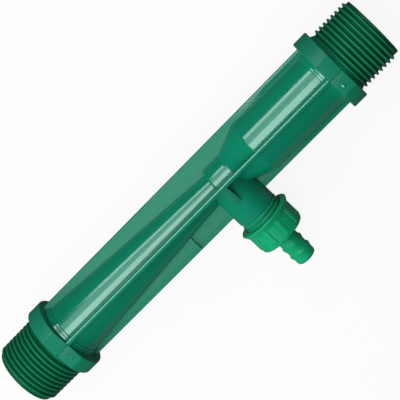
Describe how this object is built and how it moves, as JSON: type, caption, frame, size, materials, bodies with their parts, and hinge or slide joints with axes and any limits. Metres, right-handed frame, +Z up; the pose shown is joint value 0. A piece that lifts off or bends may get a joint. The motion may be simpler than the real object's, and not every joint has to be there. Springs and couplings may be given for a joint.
{
  "type": "venturi fertilizer injector",
  "caption": "Green moulded venturi injector with threaded ends, round collars with two flats, long fins and a screw-capped suction port with a hose barb and ball check valve.",
  "frame": {"origin": "centre of the inlet mouth, on the flow axis", "axes": "+X along the flow from inlet to outlet, +Y along the suction port, +Z up from the flats the injector lies on"},
  "size_m": [0.222, 0.0729, 0.0338],
  "materials": {
    "body_green": "moulded, semi-gloss",
    "cap_green": "moulded, semi-gloss",
    "washer_rubber": "matte",
    "ball_plastic": "smooth"
  },
  "bodies": {
    "injector": {"injector_body": "body_green", "suction_cap": "cap_green", "seat_washer": "washer_rubber"},
    "ball": {"check_ball": "ball_plastic"}
  },
  "joints": [
    {"name": "ball_lift", "type": "slide", "parent": "injector", "child": "ball", "axis": [0, -1, 0], "range_m": [0, 0.003]}
  ]
}
